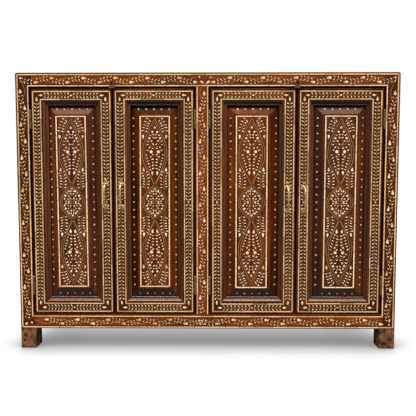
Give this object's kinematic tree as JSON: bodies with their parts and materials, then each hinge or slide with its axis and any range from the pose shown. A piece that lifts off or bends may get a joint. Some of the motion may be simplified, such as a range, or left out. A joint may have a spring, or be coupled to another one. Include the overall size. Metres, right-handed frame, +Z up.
{
  "type": "sideboard",
  "caption": "Low four-door rosewood cabinet on short legs, panelled doors inlaid with bone stringing and leaf work, bowed brass pulls and wooden turn buttons.",
  "frame": {"origin": "on the floor under the middle of the cabinet, pulls included", "axes": "+X to the right seen from the front, +Y from front to back, +Z up"},
  "size_m": [1.32, 0.457, 0.967],
  "materials": {
    "rosewood": "waxed reddish brown rosewood",
    "post_rosewood": "waxed rosewood, worn paler at the feet",
    "plain_timber": "plain unpolished boards",
    "dark_moulding": "dark polished mouldings",
    "button_wood": "worn oiled wood",
    "bone": "polished yellowed bone",
    "aged_brass": "aged cast brass",
    "hinge_steel": "old browned steel",
    "black_iron": "blackened iron"
  },
  "bodies": {
    "case": {"back_left_post": "post_rosewood", "back_planks": "plain_timber", "back_rails": "plain_timber", "back_right_post": "post_rosewood", "bottom_planks": "plain_timber", "button_pivots": "black_iron", "centre_stile": "rosewood", "frame_hinge_leaves": "hinge_steel", "frame_screws": "hinge_steel", "frame_stringing": "bone", "front_bottom_rail": "rosewood", "front_left_post": "post_rosewood", "front_right_post": "post_rosewood", "front_top_rail": "rosewood", "hinge_pins": "hinge_steel", "left_side_panel": "rosewood", "right_side_panel": "rosewood", "shelf": "plain_timber", "shelf_cleats": "plain_timber", "side_rails": "rosewood", "top_planks": "rosewood"},
    "door_1": {"door_1_hinge_leaves": "hinge_steel", "door_1_hinge_stile": "rosewood", "door_1_lock_stile": "rosewood", "door_1_moulding": "dark_moulding", "door_1_panel": "rosewood", "door_1_pull": "aged_brass", "door_1_rails": "rosewood", "door_1_screws": "hinge_steel", "door_1_stringing": "bone"},
    "door_2": {"door_2_hinge_leaves": "hinge_steel", "door_2_hinge_stile": "rosewood", "door_2_lock_stile": "rosewood", "door_2_moulding": "dark_moulding", "door_2_panel": "rosewood", "door_2_pull": "aged_brass", "door_2_rails": "rosewood", "door_2_screws": "hinge_steel", "door_2_stringing": "bone"},
    "door_3": {"door_3_hinge_leaves": "hinge_steel", "door_3_hinge_stile": "rosewood", "door_3_lock_stile": "rosewood", "door_3_moulding": "dark_moulding", "door_3_panel": "rosewood", "door_3_pull": "aged_brass", "door_3_rails": "rosewood", "door_3_screws": "hinge_steel", "door_3_stringing": "bone"},
    "door_4": {"door_4_hinge_leaves": "hinge_steel", "door_4_hinge_stile": "rosewood", "door_4_lock_stile": "rosewood", "door_4_moulding": "dark_moulding", "door_4_panel": "rosewood", "door_4_pull": "aged_brass", "door_4_rails": "rosewood", "door_4_screws": "hinge_steel", "door_4_stringing": "bone"},
    "left_button": {"left_turn_button": "button_wood"},
    "right_button": {"right_turn_button": "button_wood"}
  },
  "joints": [
    {"name": "door_1_hinge", "type": "hinge", "parent": "case", "child": "door_1", "pos_m": [-0.61325, -0.2015, 0.52025], "axis": [0, 0, -1], "range_deg": [0, 150]},
    {"name": "door_2_hinge", "type": "hinge", "parent": "case", "child": "door_2", "pos_m": [-0.04275, -0.2015, 0.52025], "axis": [0, 0, 1], "range_deg": [0, 90]},
    {"name": "door_3_hinge", "type": "hinge", "parent": "case", "child": "door_3", "pos_m": [0.00775, -0.2015, 0.52025], "axis": [0, 0, -1], "range_deg": [0, 90]},
    {"name": "door_4_hinge", "type": "hinge", "parent": "case", "child": "door_4", "pos_m": [0.61125, -0.2015, 0.52025], "axis": [0, 0, 1], "range_deg": [0, 150]},
    {"name": "left_button_turn", "type": "hinge", "parent": "case", "child": "left_button", "pos_m": [-0.328, -0.2015, 0.931], "axis": [0, 1, 0], "range_deg": [-90, 90]},
    {"name": "right_button_turn", "type": "hinge", "parent": "case", "child": "right_button", "pos_m": [0.3095, -0.2015, 0.931], "axis": [0, 1, 0], "range_deg": [-90, 90]}
  ]
}
